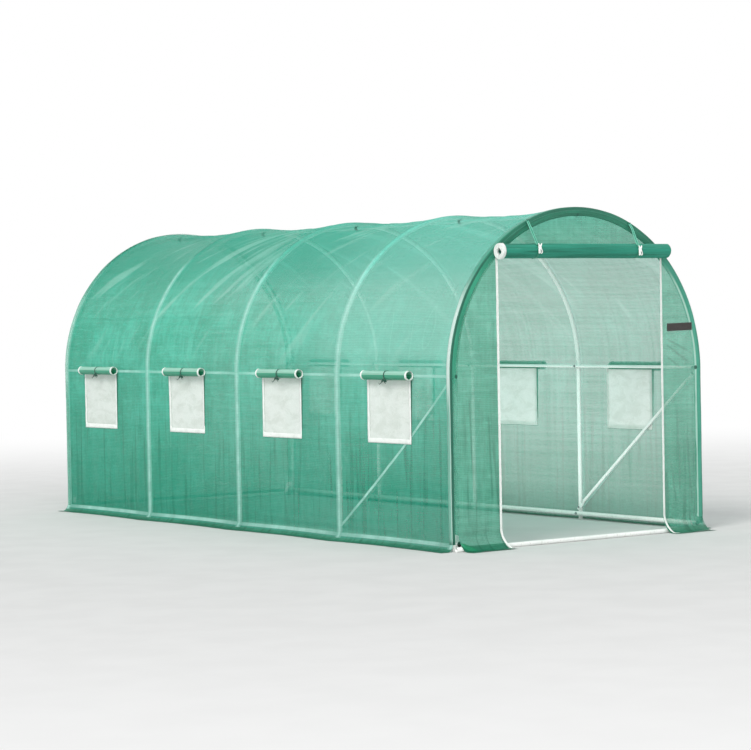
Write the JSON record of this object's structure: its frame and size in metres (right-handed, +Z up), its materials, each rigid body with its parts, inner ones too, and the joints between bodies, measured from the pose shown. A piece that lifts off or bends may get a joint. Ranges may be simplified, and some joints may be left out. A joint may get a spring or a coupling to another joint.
{
  "type": "polytunnel greenhouse",
  "caption": "Walk-in tunnel greenhouse: five white tube hoops under a green reinforced film cover, with a rolled-up front door and four roll-up windows a side.",
  "frame": {"origin": "bottom centre of the whole, on the ground, midway between the side walls and the end walls", "axes": "+X to the right as seen from the door end, +Y from the door end to the rear, +Z up"},
  "size_m": [2.1686, 4.7606, 2.0036],
  "materials": {
    "green_film": "translucent reinforced polyethylene film, soft sheen",
    "white_tube": "white coated steel tube, satin",
    "hem_cloth": "doubled green film hem, dull",
    "film_roll": "rolled green film, many layers, soft sheen",
    "white_tape": "woven white tape",
    "insect_screen": "fine off-white mesh",
    "green_tie": "narrow woven tie",
    "white_plastic": "moulded white plastic"
  },
  "bodies": {
    "root": {"door_roll": "film_roll", "door_roll_edge": "white_tape", "door_ties": "green_tie", "door_toggles": "white_plastic", "door_zip_tapes": "white_tape", "fourth_hoop": "white_tube", "front_hem_band": "hem_cloth", "front_hoop": "white_tube", "front_left_panel": "green_film", "front_left_skirt": "green_film", "front_right_panel": "green_film", "front_right_skirt": "green_film", "front_roof_film": "green_film", "front_sill_rail": "white_tube", "front_top_panel": "green_film", "left_brace": "white_tube", "left_ground_rail": "white_tube", "left_mid_rail": "white_tube", "left_skirt": "green_film", "left_wall_film": "green_film", "left_window_borders": "white_tape", "left_window_rolls": "film_roll", "left_window_screens": "insect_screen", "left_window_ties": "green_tie", "middle_hoop": "white_tube", "rear_hem_band": "hem_cloth", "rear_hoop": "white_tube", "rear_panel": "green_film", "rear_roof_film": "green_film", "rear_sill_rail": "white_tube", "rear_skirt": "green_film", "ridge_rail": "white_tube", "right_brace": "white_tube", "right_ground_rail": "white_tube", "right_mid_rail": "white_tube", "right_skirt": "green_film", "right_wall_film": "green_film", "right_window_borders": "white_tape", "right_window_rolls": "film_roll", "right_window_screens": "insect_screen", "right_window_ties": "green_tie", "second_hoop": "white_tube", "second_roof_film": "green_film", "third_roof_film": "green_film"}
  },
  "joints": []
}
